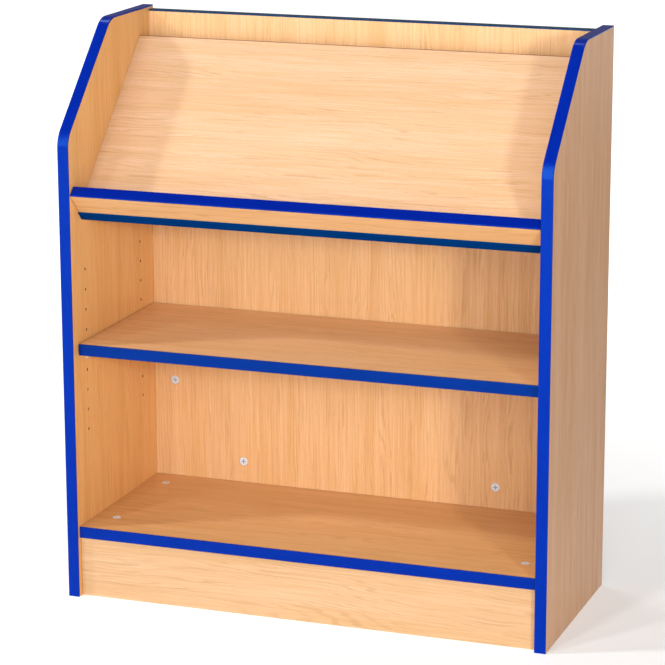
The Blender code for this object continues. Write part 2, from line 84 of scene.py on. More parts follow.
# Beech print: sizes of its patterns along, across and through a board, and the shades that tint its ground
RING_MM = 4.4
WAVE_MM = (380, 60, 7)
WAVE_ASIDE_MM, WAVE_DOWN_MM, UNEVEN_MM = 52.0, 40.0, 14.0
FADE_MM = (170, 12, 7)
BAND_MM = (600, 24, 7)
FIBRE_MM = (120, 2.2, 7)
FLECK_MM = (10, 1.1, 7)
CHIP_MM = (3.0, 3.0, 1.0)
FACING_MM = 0.3
REAR_TAPE = 0.0004
PALE_SHADE = (1.07, 1.11, 1.22, 1)
DEEP_SHADE = (0.93, 0.88, 0.76, 1)
LINE_SHADE = (0.72, 0.64, 0.52, 1)

# Cam locks: a drum, its cross slot, and the hollow, way in and neck slot for the bolt's ball head
CAM_RADIUS = 0.0072
CAM_RIM = 0.0004
CAM_FACE = -0.0002
CAM_FOOT = -0.0131
HOLLOW_TOP = -0.0054
NECK_TOP, NECK_FOOT = -0.0069, -0.0111
CAM_GRIP, CAM_RELEASE = 0.0046, 0.0054
CAM_TURN = math.radians(150)
WAY_IN_HALF = math.radians(30)
NECK_SLACK = math.radians(27)
CROSS_LONG, CROSS_WIDE, CROSS_DEPTH = 0.0039, 0.0008, 0.0024
CROSS_DRAFT = 0.00035
ARROW_TIP, ARROW_BASE, ARROW_HALF, ARROW_DEPTH = 0.0064, 0.0050, 0.0011, 0.0003
ARROW_STEEPNESS = 6

# Screws through the display board into its ledge
SCREW_HEAD, SCREW_CORE, SCREW_THREAD = 0.0045, 0.0015, 0.00225
SCREW_LIP, SCREW_LENGTH, THREAD_PITCH = 0.0006, 0.040, 0.0020
SCREW_TIP, SCREW_HEAD_ROWS, SCREW_STEM_ROWS = 0.006, 22, 150
SLOT_SHARE, SLOT_WIDE, SLOT_DEPTH, SLOT_DRAFT = 0.55, 0.0006, 0.0018, 0.0004

# The camera, solved from the photographed edges for an image of IMAGE_SIDE pixels
IMAGE_SIDE = 665
FOCAL_PIXELS = 2787.645
SENSOR_MM = 36.0
CLIP_END = 100
CAMERA_PLACE = Vector((1.415706, -3.918935, 1.470812))
CAMERA_YAW, CAMERA_PITCH, CAMERA_ROLL = map(math.radians, (19.938, -14.165, -0.153))

# Studio light: each lamp's turn and height angle in degrees, distance, width, height and power
SOFTBOX_AIM = Vector((0, 0, 0.45))
SOFTBOXES = {
    "softbox_right": (39.0, 12.5, 5.0, 0.45, 0.45, 115.0),
    "softbox_left": (-61.0, 35.0, 5.0, 0.45, 0.45, 95.0),
    "softbox_front": (20.0, 14.0, 5.0, 2.5, 2.5, 108.0),
    "strip_light_near": (-10.6, 24.0, 5.0, 0.45, 4.6, 64.0),
    "strip_light_far": (-28.4, 31.0, 5.4, 0.45, 5.4, 64.0),
    "softbox_high_behind": (-133.0, 64.0, 5.0, 1.4, 1.4, 32.0),
}
SURROUND_LIGHT = 0.15

# The floor, its lane lit from below and the ring lit from below farther off
FLOOR_HALF, FLOOR_POINTS = 30, 13
FLOOR_GLOW = 0.95
LANE_START, LANE_FULL = -1.0, 2.6
LANE_INNER, LANE_OUTER, LANE_FLARE = 0.55, 0.90, 0.13
RING_NEAR, RING_FAR = 3.5, 7.5


def linear(hex_colour):
    """An sRGB hex colour as linear RGBA: channels up to 0.04045 over 12.92, others by the 2.4 power."""
    channels = np.array([int(hex_colour[i:i + 2], 16) for i in (1, 3, 5)]) / 255
    lit = np.where(channels <= 0.04045, channels / 12.92, ((channels + 0.055) / 1.055) ** 2.4)
    return (*lit.tolist(), 1.0)


def add(tree, kind, sockets=None, **settings):
    """Add a node: settings are its properties, sockets give inputs a value or another node's output."""
    made = tree.nodes.new("ShaderNode" + kind)
    for name, value in settings.items():
        setattr(made, name, value)
    for name, value in (sockets or {}).items():
        if isinstance(value, bpy.types.NodeSocket):
            tree.links.new(value, made.inputs[name])
        else:
            made.inputs[name].default_value = value
    return made.outputs


def maths(tree, operation, *values):
    """The result of one math node."""
    return add(tree, "Math", dict(enumerate(values)), operation=operation)[0]


def ramp(tree, value, low, high, start=0.0, end=1.0, smooth=False):
    """A value from low to high brought evenly, or smoothly, to the range from start to end."""
    kind = "SMOOTHSTEP" if smooth else "LINEAR"
    return add(tree, "MapRange", {0: value, 1: low, 2: high, 3: start, 4: end}, interpolation_type=kind)[0]


def mixed(tree, share, first, second):
    """Two values mixed, with that share of the second."""
    return add(tree, "Mix", {0: share, 2: first, 3: second})[0]


def blend(tree, share, first, second, **settings):
    """Two colours mixed, with that share of the second."""
    return add(tree, "Mix", {0: share, 6: first, 7: second}, data_type="RGBA", **settings)[2]


def scaled(tree, vector, size):
    """A vector divided by the size of a pattern along each axis."""
    return add(tree, "Mapping", {"Vector": vector, "Scale": tuple(1 / side for side in size)})[0]


def noise(tree, vector, size, detail, roughness=0.5):
    """Noise whose patches have that size along each axis, in the vector's unit."""
    return add(tree, "TexNoise", {"Vector": scaled(tree, vector, size), "Scale": 1, "Detail": detail,
                                  "Roughness": roughness})


def even_noise(tree, vector, size, detail):
    """Noise whose patches have one size each way, in the vector's unit."""
    return add(tree, "TexNoise", {"Vector": vector, "Scale": 1 / size, "Detail": detail})[0]


def surface(tree, sockets):
    """Join a principled surface with these inputs to the material's output."""
    shader = add(tree, "BsdfPrincipled", sockets)
    add(tree, "OutputMaterial", {0: shader[0]})


def new_material(name):
    """An empty node material and its tree."""
    material = bpy.data.materials.new(name)
    material.use_nodes = True
    material.node_tree.nodes.clear()
    return material, material.node_tree


def turned_to(along, across, origin):
    """Mapping sockets that turn object metres to millimetres along, across and through a piece.

    The rows of the turn are the three directions, and the shift puts origin at zero.
    """
    through = along.cross(across)
    turn = Matrix((along, across, through))
    return {"Location": tuple(-(turn @ origin) * 1000), "Rotation": tuple(turn.to_euler("XYZ")),
            "Scale": (1000, 1000, 1000)}


def beech_melamine(name, along, across, origin, heart, tones, spread, taped):
    """Beech-effect melamine on chipboard: a printed paper pressed under clear resin, satin and easy to wipe.

    The eye sees growth lines about 4 mm apart that run to long arches where the cut nears the heart, broad
    pinker and yellower bands, and short brown ray flecks. A ring's number is its distance from a heart
    line that lies under the face and dips along the grain, divided by the ring width: so lines crowd far
    from the heart and arch over it. A smaller spread makes bands and fibres stronger. Unfaced edges and
    drilled holes show chips of the core.
    """
    heart_across, heart_depth, heart_dip = heart
    material, tree = new_material(name)
    here = add(tree, "TexCoord")["Object"]
    board_mm = add(tree, "Mapping", {"Vector": here, **turned_to(along, across, origin)})[0]
    place = add(tree, "SeparateXYZ", {0: board_mm})
    # Waves of the growth lines, which differ on the board's two faces
    waves = add(tree, "SeparateColor", {0: noise(tree, board_mm, WAVE_MM, 2.5, 0.45)["Color"]})
    sway = maths(tree, "MULTIPLY_ADD", waves[0], WAVE_ASIDE_MM, -WAVE_ASIDE_MM / 2 - heart_across)
    aside = maths(tree, "ADD", place[1], sway)
    dip = maths(tree, "MULTIPLY_ADD", place[0], heart_dip, heart_depth)
    under = maths(tree, "MULTIPLY_ADD", waves[1], WAVE_DOWN_MM, dip)
    radius = add(tree, "CombineXYZ", {0: aside, 1: under})[0]
    distance = add(tree, "VectorMath", {0: radius}, operation="LENGTH")["Value"]
    # Growth lines come and go, and their spacing varies
    fade = noise(tree, board_mm, FADE_MM, 2, 0.6)[0]
    uneven = maths(tree, "MULTIPLY_ADD", fade, UNEVEN_MM, distance)
    ring = maths(tree, "SINE", maths(tree, "MULTIPLY", uneven, 2 * math.pi / RING_MM))
    late = ramp(tree, ring, 0.1, 1.0, smooth=True)
    strength = ramp(tree, fade, 0.36, 0.66, 0.02, 0.55)
    lines = maths(tree, "MULTIPLY", late, strength)
    # Broad colour bands, and fibre streaks: real ones are 1 mm wide, drawn twice as wide so that they show
    band = noise(tree, board_mm, BAND_MM, 3, 0.74)[0]
    fibre = noise(tree, board_mm, FIBRE_MM, 2, 0.6)[0]
    tone = ramp(tree, mixed(tree, 0.50, band, fibre), 0.5 - spread, 0.5 + spread)
    # Ray flecks: real ones are 3 mm by 0.4 mm, drawn three times coarser so that the render shows them
    fleck = noise(tree, board_mm, FLECK_MM, 1)[0]
    flecks = ramp(tree, fleck, 0.56, 0.74, 0.0, 0.22)
    # The faces' ground tones: the print's colour with painted light and shade, lighter or darker for the
    # light on each board and face
    front = maths(tree, "GREATER_THAN", place[2], 0.0)
    ground = blend(tree, front, linear(tones[0]), linear(tones[1]))
    shade = blend(tree, tone, PALE_SHADE, DEEP_SHADE)
    banded = blend(tree, 1.0, ground, shade, blend_type="MULTIPLY")
    darker = blend(tree, 1.0, ground, LINE_SHADE, blend_type="MULTIPLY")
    lined = blend(tree, lines, banded, darker)
    printed = blend(tree, flecks, lined, linear("#B58050"))
    # Chips of the core lie flat in the board
    chip = add(tree, "TexVoronoi", {"Vector": scaled(tree, board_mm, CHIP_MM), "Scale": 1})["Color"]
    chip_tone = add(tree, "SeparateColor", {0: chip})[0]
    core = blend(tree, chip_tone, linear("#6E4A28"), linear("#A07848"))
    # The faces are the outermost of the thickness, and a taped rear edge is faced too
    depth = maths(tree, "ABSOLUTE", place[2])
    faced = maths(tree, "GREATER_THAN", depth, BOARD * 500 - FACING_MM)
    if taped:
        rearward = add(tree, "SeparateXYZ", {0: here})[1]
        tape = maths(tree, "GREATER_THAN", rearward, REAR - REAR_TAPE)
        faced = maths(tree, "MAXIMUM", faced, tape)
    colour = blend(tree, faced, core, printed)
    satin = ramp(tree, fade, 0.0, 1.0, 0.33, 0.45)
    rough = mixed(tree, faced, 0.85, satin)
    pores = maths(tree, "MULTIPLY", flecks, -0.3)
    relief = mixed(tree, faced, chip_tone, pores)
    bump = add(tree, "Bump", {"Height": relief, "Strength": 0.6, "Distance": 0.0001})[0]
    surface(tree, {"Base Color": colour, "Roughness": rough, "Normal": bump, "IOR": 1.42})
    return material


def blue_edging(name, tones, gloss):
    """Extruded ABS edging strip, dyed through and trimmed with a rounding cutter: satin royal blue.

    The eye sees a smooth face with faint lines along its length, 0.5 mm apart and drawn 1.2 mm apart to
    show, and small dull patches. Each strip has a tone and gloss of its own, which paint its light and
    shade: darker tones where a strip lies in shade, a greyer tone as a painted reflection on the top strip,
    and no gloss on the strip under the display board. The UV map runs along the strip and across it, in
    metres.
    """
    material, tree = new_material(name)
    strip = add(tree, "UVMap", uv_map="strip")[0]
    line = noise(tree, strip, (0.120, 0.0012, 1), 2)[0]
    patch = noise(tree, strip, (0.070, 0.018, 1), 3, 0.6)[0]
    colour = blend(tree, ramp(tree, patch, 0.3, 0.7), linear(tones[0]), linear(tones[1]))
    dull = ramp(tree, patch, 0.3, 0.7, 0.17, 0.23)
    bump = add(tree, "Bump", {"Height": line, "Strength": 0.25, "Distance": 0.00006})[0]
    surface(tree, {"Base Color": colour, "Roughness": dull, "Normal": bump, "Specular IOR Level": gloss,
                   "Specular Tint": (0.08, 0.45, 1, 1)})
    return material


def beech_edging():
    """Beech-effect ABS edging of the display board's top: a brown plastic with a printed grain, satin.

    The eye sees a warm brown line with streaks 1 mm wide and 60 mm long. The brown, much darker than the
    boards' print, is partly its own colour and partly painted shade of the rounded arris. The UV map runs
    along the strip and across it, in metres.
    """
    material, tree = new_material("printed_abs_edging_beech_painted_shade")
    strip = add(tree, "UVMap", uv_map="strip")[0]
    streak = noise(tree, strip, (0.060, 0.001, 1), 3, 0.55)[0]
    # Dark brown: the edging's print with painted shade of its rounded arris
    colour = blend(tree, ramp(tree, streak, 0.3, 0.7), linear("#7C4C32"), linear("#8E5B3D"))
    surface(tree, {"Base Color": colour, "Roughness": 0.45, "IOR": 1.53})
    return material


def cast_zinc():
    """Die-cast zinc, tumbled and left bare: pale grey metal with a dull grain and darker hollows.

    The grain is 0.4 mm and the cloudy patches are 4 mm across. The mesh's recess attribute is one where
    the surface lies in a slot or a hollow, and a painted shade darkens it there. The scatter of the rough
    skin is drawn as a part that is not metallic.
    """
    material, tree = new_material("tumbled_die_cast_zinc")
    here = add(tree, "TexCoord")["Object"]
    grain = even_noise(tree, here, 0.0004, 2)
    cloud = even_noise(tree, here, 0.004, 3)
    colour = blend(tree, cloud, linear("#C6D0DA"), linear("#E8EEF4"))
    recess = add(tree, "Attribute", attribute_name="recess")["Fac"]
    # Painted shade: the slot and the hollow are darkened to a fixed grey-blue
    painted_recess_shade = blend(tree, recess, colour, linear("#A6B2C0"))
    dull = ramp(tree, cloud, 0.3, 0.7, 0.42, 0.58)
    bump = add(tree, "Bump", {"Height": grain, "Strength": 0.35, "Distance": 0.00005})[0]
    surface(tree, {"Base Color": painted_recess_shade, "Metallic": 0.25, "Roughness": dull, "Normal": bump})
    return material


def plated_steel():
    """Zinc-plated steel of the bolts and screws: bright metal with a blue and straw tint in patches."""
    material, tree = new_material("zinc_plated_steel")
    here = add(tree, "TexCoord")["Object"]
    cloud = even_noise(tree, here, 0.006, 3)
    colour = blend(tree, cloud, linear("#C9CED6"), linear("#DEDACB"))
    dull = ramp(tree, cloud, 0.3, 0.7, 0.24, 0.36)
    surface(tree, {"Base Color": colour, "Metallic": 1.0, "Roughness": dull})
    return material


def moulded_nylon():
    """Injection-moulded natural nylon of the shelf supports: milky off-white with a fine eroded grain."""
    material, tree = new_material("moulded_natural_nylon")
    here = add(tree, "TexCoord")["Object"]
    grain = even_noise(tree, here, 0.0005, 2)
    cloud = even_noise(tree, here, 0.005, 2)
    colour = blend(tree, cloud, linear("#D2CBBB"), linear("#E6E0D2"))
    dull = ramp(tree, grain, 0.0, 1.0, 0.36, 0.52)
    bump = add(tree, "Bump", {"Height": grain, "Strength": 0.3, "Distance": 0.00004})[0]
    surface(tree, {"Base Color": colour, "Roughness": dull, "Normal": bump, "IOR": 1.53})
    return material


def dowel_beech(name, along):
    """Turned beech dowel: matt pale wood with fibres 0.6 mm wide that run along the peg."""
    material, tree = new_material(name)
    here = add(tree, "TexCoord")["Object"]
    across = RIGHT if abs(along.x) < 0.5 else UP
    side = along.cross(across).normalized()
    peg_mm = add(tree, "Mapping", {"Vector": here, **turned_to(along, side, Vector((0, 0, 0)))})[0]
    fibre = noise(tree, peg_mm, (12, 0.6, 0.6), 3)[0]
    colour = blend(tree, fibre, linear("#B98F5E"), linear("#E0BE90"))
    bump = add(tree, "Bump", {"Height": fibre, "Strength": 0.4, "Distance": 0.0001})[0]
    surface(tree, {"Base Color": colour, "Roughness": 0.7, "Normal": bump})
    return material


def pale_floor():
    """Matt white acrylic floor with patches a shade apart, 0.6 m across.

    A widening lane of it, which starts under the bookcase, is lit from below, more and more to its rear,
    and so is the floor farther off on every side, which stays pale to the horizon.
    """
    material, tree = new_material("matt_white_studio_floor")
    here = add(tree, "TexCoord")["Object"]
    patch = even_noise(tree, here, 0.6, 2)
    colour = blend(tree, patch, linear("#F2F2F2"), linear("#F5F5F5"))
    strip = add(tree, "Mapping", {"Vector": here, "Rotation": (0, 0, -CAMERA_YAW)})[0]
    place = add(tree, "SeparateXYZ", {0: strip})
    onward = ramp(tree, place[1], LANE_START, LANE_FULL, 0.0, FLOOR_GLOW)
    aside = maths(tree, "ABSOLUTE", place[0])
    past = maths(tree, "MULTIPLY_ADD", place[1], -LANE_FLARE, aside)
    within = ramp(tree, past, LANE_INNER, LANE_OUTER, 1.0, 0.0, smooth=True)
    lane = maths(tree, "MULTIPLY", onward, within)
    afar = add(tree, "VectorMath", {0: here}, operation="LENGTH")["Value"]
    ring = ramp(tree, afar, RING_NEAR, RING_FAR, 0.0, FLOOR_GLOW)
    glow = maths(tree, "MAXIMUM", lane, ring)
    surface(tree, {"Base Color": colour, "Roughness": 0.9, "Specular IOR Level": 0.0,
                   "Emission Color": (1, 1, 1, 1), "Emission Strength": glow})
    return material


def quads(rows, columns, around):
    """Quads of a grid: each joins point (i, j) to (i + 1, j), (i + 1, j + 1) and (i, j + 1)."""
    i = np.arange(rows - 1)[:, None]
    j = np.arange(columns if around else columns - 1)[None, :]
    onward = (j + 1) % columns
    corners = (i * columns + j, (i + 1) * columns + j, (i + 1) * columns + onward, i * columns + onward)
    return np.stack(corners, axis=-1).reshape(-1, 4)


def skin(name, points, faces, material, crease, recess=None):
    """A closed mesh piece: doubles at poles merged, faces outwards, smooth up to the crease angle.

    Where recess is given, it is kept with the points for the material.
    """
    mesh = bpy.data.meshes.new(name)
    mesh.from_pydata(points.reshape(-1, 3).tolist(), [], faces)
    if recess is not None:
        kept = mesh.attributes.new("recess", "FLOAT", "POINT")
        kept.data.foreach_set("value", recess.astype(np.float32).ravel())
    form = bmesh.new()
    form.from_mesh(mesh)
    bmesh.ops.remove_doubles(form, verts=form.verts, dist=1e-7)
    bmesh.ops.recalc_face_normals(form, faces=form.faces)
    form.to_mesh(mesh)
    form.free()
    mesh.shade_smooth()
    mesh.set_sharp_from_angle(angle=math.radians(crease))
    mesh.materials.append(material)
    piece = bpy.data.objects.new(name, mesh)
    bpy.context.scene.collection.objects.link(piece)
    return piece


def stand_for(piece, node, body):
    """Make a piece ride on a body and take the place of a model node."""
    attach(piece, body)
    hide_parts(node)


def side_rail():
    """The outer line of a side panel's edging, as (y, z) points, and its outward normals.

    It has three lines and two arcs. An arc's point is its middle plus the radius times the normal, whose
    angle turns evenly from one line's to the next's, and its middle is the corner less the radius times
    the two normals' sum over one plus their product. Between arcs, points are spaced evenly on a line.
    """
    turns = np.array([math.pi / 2, math.pi / 2 + SLOPE_ANGLE, math.pi])
    facing = np.stack([np.cos(turns), np.sin(turns)], axis=1)
    corners = np.array([[FRONT + SLOPE_RUN, TOP], [FRONT, TOP - SLOPE_RISE]])
    shares = 1 + np.sum(facing[:-1] * facing[1:], axis=1, keepdims=True)
    middles = corners - CORNER_RADIUS * (facing[:-1] + facing[1:]) / shares
    arc_turns = np.linspace(turns[:-1], turns[1:], ARC_STEPS, axis=1)
    arc_normals = np.stack([np.cos(arc_turns), np.sin(arc_turns)], axis=2)
    arcs = middles[:, None, :] + CORNER_RADIUS * arc_normals
    starts = np.array([[REAR, TOP], arcs[0, -1], arcs[1, -1]])
    ends = np.array([arcs[0, 0], arcs[1, 0], [FRONT, 0.0]])
    lines = np.linspace(starts, ends, LINE_STEPS, axis=1)
    line_normals = np.repeat(facing[:, None, :], LINE_STEPS, axis=1)
    points = np.concatenate([lines[0, :-1], arcs[0], lines[1, 1:-1], arcs[1], lines[2, 1:]])
    normals = np.concatenate([line_normals[0, :-1], arc_normals[0], line_normals[1, 1:-1], arc_normals[1],
                              line_normals[2, 1:]])
    return points, normals


def straight_rail(low, high):
    """Points spaced evenly on the line from low to high."""
    return np.linspace(np.array(low), np.array(high), RAIL_STEPS)


def edging_strip(name, rail, normals, across, body, material):
    """Edging carried along a rail: point (i, j) is rail point i, less inset j along the outward normal,
    plus offset j along the across direction.

    The section's back is flat on the board's edge, its face is flat, and two quarter circles round its
    outer arrises: offset = half width - radius + radius * sine, inset = radius - radius * cosine.
    """
    half = BOARD / 2
    quarter = np.linspace(0, math.pi / 2, ROUND_STEPS)
    flat = half - EDGING_ROUND
    offsets = np.concatenate([[0, flat * EDGING_FLAT_LOOP], flat + EDGING_ROUND * np.sin(quarter), [half]])
    insets = np.concatenate([[0, 0], EDGING_ROUND * (1 - np.cos(quarter)), [EDGING + JOINT_GAP]])
    offsets = np.concatenate([offsets, -offsets[:0:-1]])
    insets = np.concatenate([insets, insets[:0:-1]])
    inward = insets[None, :, None] * np.asarray(normals)[:, None, :]
    sideways = offsets[None, :, None] * np.array(across)
    points = rail[:, None, :] - inward + sideways
    rows, columns = points.shape[:2]
    caps = [list(range(columns)), list(range((rows - 1) * columns, rows * columns))]
    piece = skin(name, points, quads(rows, columns, True).tolist() + caps, material, EDGING_CREASE)
    steps = np.linalg.norm(np.diff(rail, axis=0), axis=1)
    travelled = np.concatenate([[0], np.cumsum(steps)])
    girth = offsets + np.sign(offsets) * insets
    strip_map = np.stack([np.repeat(travelled, columns), np.tile(girth, rows)], axis=1)
    mesh = piece.data
    corners = np.empty(len(mesh.loops), dtype=np.int64)
    mesh.loops.foreach_get("vertex_index", corners)
    layer = mesh.uv_layers.new(name="strip")
    layer.uv.foreach_set("vector", strip_map[corners].astype(np.float32).ravel())
    stand_for(piece, name.replace("_strip", "_edging"), body)


def cross_recess(x, y, long, wide, depth, draft):
    """Depth of a cross slot with drafted walls: full inside either arm, easing to none over the draft."""
    first = np.maximum(np.abs(x) - long, np.abs(y) - wide)
    second = np.maximum(np.abs(y) - long, np.abs(x) - wide)
    inside = np.clip(-np.minimum(first, second) / draft, 0, 1)
    return depth * inside * inside * (3 - 2 * inside)


def cam_form(around=72, rings=40):
    """Points and faces of the cam drum. Its axis is Z, its face looks up and X points to the bolt.

    On a grid of angle and row: the face is a polar grid sunk by the cross slot and the arrow mark, the
    wall drops straight, and the hollow's wall climbs back at a spiral radius that opens evenly from grip to
    release over the cam's turn and closes over the rest. Wall cells inside the bolt head's way in and the
    neck's slot are left out of both walls, and quads between the walls close their borders.
    """
    angle = np.arange(around) * 2 * math.pi / around
    turn = np.cos(angle), np.sin(angle)
    radii = np.linspace(0, CAM_RADIUS - CAM_RIM, rings)
    x, y = radii[:, None] * turn[0], radii[:, None] * turn[1]
    arrow = np.minimum(ARROW_TIP - x, x - ARROW_BASE) / (ARROW_TIP - ARROW_BASE)
    beside = 1 - np.abs(y) / (ARROW_HALF * np.clip((ARROW_TIP - x) / (ARROW_TIP - ARROW_BASE), 1e-6, None))
    mark = np.clip(np.minimum(arrow, beside) * ARROW_STEEPNESS, 0, 1) * ARROW_DEPTH
    sunk = np.maximum(cross_recess(x, y, CROSS_LONG, CROSS_WIDE, CROSS_DEPTH, CROSS_DRAFT), mark)
    face = np.stack([x, y, CAM_FACE - sunk], axis=2)
    opened = np.where(angle < CAM_TURN, angle / CAM_TURN, (2 * math.pi - angle) / (2 * math.pi - CAM_TURN))
    spiral = CAM_GRIP + (CAM_RELEASE - CAM_GRIP) * opened
    drum = np.full(around, CAM_RADIUS)
    levels = [HOLLOW_TOP, NECK_TOP, NECK_FOOT, CAM_FOOT]
    walls = [(drum, CAM_FACE - CAM_RIM)] + [(drum, z) for z in levels] + [(spiral, z) for z in levels[::-1]]
    walls.append((spiral * 0, HOLLOW_TOP))
    reach = np.array([r for r, z in walls])
    height = np.repeat(np.array([[z] for r, z in walls]), around, axis=1)
    lower = np.stack([reach * turn[0], reach * turn[1], height], axis=2)
    points = np.concatenate([face, lower])
    centre = angle + math.pi / around
    way_in = np.abs((centre - CAM_TURN + math.pi) % (2 * math.pi) - math.pi) < WAY_IN_HALF
    neck = (centre < CAM_TURN) | (centre > 2 * math.pi - NECK_SLACK)
    kept_outer = np.ones((len(points) - 1, around), dtype=bool)
    first = rings + 1
    open_cells = np.stack([way_in, way_in | neck, way_in])
    kept_outer[first:first + 3] = ~open_cells
    kept_outer[first + 3] = ~way_in
    kept_outer[first + 4:first + 7] = ~open_cells[::-1]
    faces = quads(len(points), around, True)[kept_outer.ravel()].tolist()
    row, cell = np.nonzero(open_cells != np.roll(open_cells, 1, axis=1))
    outer, inner = first + row, first + 7 - row
    ends = np.stack([outer * around + cell, (outer + 1) * around + cell,
                     (inner - 1) * around + cell, inner * around + cell], axis=1)
    shut = np.zeros((1, around), dtype=bool)
    row, cell = np.nonzero(np.diff(np.concatenate([shut, open_cells]).astype(int), axis=0))
    outer, inner = first + row, first + 7 - row
    onward = (cell + 1) % around
    shelves = np.stack([outer * around + cell, outer * around + onward,
                        inner * around + onward, inner * around + cell], axis=1)
    # Recess, for the material's painted shade: the cross slot by its depth, and the whole hollow
    recess = np.zeros(points.shape[:2])
    recess[:rings] = np.clip(sunk * 2 / CROSS_DEPTH, 0, 1)
    recess[rings + 5:] = 1
    return points.reshape(-1, 3), faces + ends.tolist() + shelves.tolist(), recess


def screw_form(around=32):
    """Points and faces of a countersunk screw. Its axis is Z, into the wood, and its head's face looks down.

    On a grid of angle and row: the head's face is a polar grid sunk by a cross slot, a cone runs to the
    shank, and the thread's radius is the core plus the thread's height times a triangle wave of the
    depth over the pitch less the angle over a full turn, fading to nothing at the tip.
    """
    angle = np.arange(around) * 2 * math.pi / around
    turn = np.stack([np.cos(angle), np.sin(angle)], axis=1)
    radii = np.linspace(0, SCREW_HEAD, SCREW_HEAD_ROWS)
    x, y = radii[:, None] * turn[:, 0], radii[:, None] * turn[:, 1]
    sunk = cross_recess(x, y, SCREW_HEAD * SLOT_SHARE, SLOT_WIDE, SLOT_DEPTH, SLOT_DRAFT)
    head = np.stack([x, y, sunk], axis=2)
    shank = np.linspace(SCREW_LIP + SCREW_HEAD - SCREW_CORE, SCREW_LENGTH, SCREW_STEM_ROWS)
    depth = np.concatenate([[SCREW_LIP], shank])
    wave = np.abs((depth[:, None] / THREAD_PITCH - angle / (2 * math.pi)) % 1 * 2 - 1)
    taper = np.clip((SCREW_LENGTH - depth) / SCREW_TIP, 0, 1)[:, None]
    thread = (SCREW_CORE + (SCREW_THREAD - SCREW_CORE) * np.clip(wave * 2 - 1, 0, 1)) * taper
    thread[0] = SCREW_HEAD
    outward = thread[:, :, None] * turn[None]
    onward = np.repeat(depth[:, None, None], around, axis=1)
    stem = np.concatenate([outward, onward], axis=2)
    points = np.concatenate([head, stem])
    return points.reshape(-1, 3), quads(len(points), around, True).tolist()


def set_in(points, origin, x_axis, z_axis):
    """Points of a form turned so that its X and Z follow two directions, and moved to origin."""
    y_axis = z_axis.cross(x_axis)
    axes = np.array([x_axis, y_axis, z_axis])
    return points @ axes + np.array(origin)


def middle_of(node):
    """The middle of a model node's box."""
    low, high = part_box(node)
    return (low + high) / 2


def make_boards():
    """Give every board node its own sheet of beech print, turned to its grain and cut from its own place.

    A sheet has the directions along and across its grain, its heart (millimetres across and deep, and the
    dip along the grain), the tones of its two faces, the print's spread, and whether its rear is taped. The
    tones are the beech print's colour with painted light and shade: each board, and each face of a side
    panel, is set lighter or darker for the light that falls on it.
    """
    sheets = {
        "left_side_panel": (UP, BACK, (-330, 26, 0.030), ("#DCA668", "#D09C70"), 0.11, True),
        "right_side_panel": (UP, -BACK, (40, 30, -0.025), ("#D9A567", "#C8966B"), 0.08, True),
        "back_panel": (UP, RIGHT, (150, 20, -0.035), ("#D8AB79", "#D8AB79"), 0.11, False),
        "base_shelf": (RIGHT, BACK, (-30, 40, 0.030), ("#D1A16B", "#D1A16B"), 0.13, False),
        "plinth": (RIGHT, UP, (-75, 30, 0.060), ("#C39C73", "#C39C73"), 0.14, False),
        "adjustable_shelf": (RIGHT, BACK, (50, 44, -0.030), ("#E2B280", "#E2B280"), 0.12, False),
        "display_slope": (RIGHT, UP_SLOPE, (-260, 24, 0.040), ("#D6AD87", "#D6AD87"), 0.13, False),
        "display_ledge": (RIGHT, SLOPE_FACE, (40, 30, 0.020), ("#CB9A67", "#CB9A67"), 0.14, False),
    }
    for node, (along, across, heart, tones, spread, taped) in sheets.items():
        name = f"beech_effect_melamine_{node}"
        sheet = beech_melamine(name, along, across, middle_of(node), heart, tones, spread, taped)
        nodes[node].data.materials.clear()
        nodes[node].data.materials.append(sheet)


def make_edging():
    """Carry an edging strip along every edged board, where the model's edging nodes are.

    A blue look has the two tones of its patches and its gloss, both set to paint light and shade: darker
    tones for strips in shade, a greyer one on the back's top as a painted reflection, and no gloss under the
    display board. A straight strip has its outward direction, its direction across, and its body, finish
    and slot.
    """
    looks = {
        "side": ("#001C86", "#002090", 0.45),
        "back_top": ("#00264A", "#002A50", 0.45),
        "base_shelf": ("#001A7E", "#001E88", 0.45),
        "adjustable_shelf": ("#001D6E", "#002076", 0.45),
        "display_slope": ("#002B60", "#003068", 0.0),
        "display_ledge": ("#00177A", "#001A84", 0.45),
    }
    blue = {}
    for strip, (*tones, gloss) in looks.items():
        blue[strip] = blue_edging(f"extruded_abs_edging_royal_blue_{strip}", tones, gloss)
    line, facing = side_rail()
    for side in SIDES:
        low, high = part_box(f"{side}_side_edging")
        column = np.full((len(line), 1), (low.x + high.x) / 2)
        rail = np.concatenate([column, line], axis=1)
        normals = np.concatenate([column * 0, facing], axis=1)
        edging_strip(f"{side}_side_strip", rail, normals, RIGHT, "case", blue["side"])
    straight = {
        "back_top": (UP, BACK, "case", blue["back_top"], "edging"),
        "base_shelf": (-BACK, UP, "case", blue["base_shelf"], "edging"),
        "adjustable_shelf": (-BACK, UP, "shelf", blue["adjustable_shelf"], "edging"),
        "display_slope": (-UP_SLOPE, SLOPE_FACE, "case", blue["display_slope"], "edging"),
        "display_slope_top": (UP_SLOPE, SLOPE_FACE, "case", beech_edging(), "beech_edging"),
        "display_ledge": (SLOPE_FACE, UP_SLOPE, "case", blue["display_ledge"], "edging"),
    }
    for name, (outward, across, body, finish, slot) in straight.items():
        low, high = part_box(f"{name}_edging")
        middle = (low + high) / 2 + outward * EDGING / 2
        reach = RIGHT * (high.x - low.x) / 2
        rail = straight_rail(middle - reach, middle + reach)
        normals = np.tile(np.array(outward), (len(rail), 1))
        edging_strip(f"{name}_strip", rail, normals, across, body, finish)


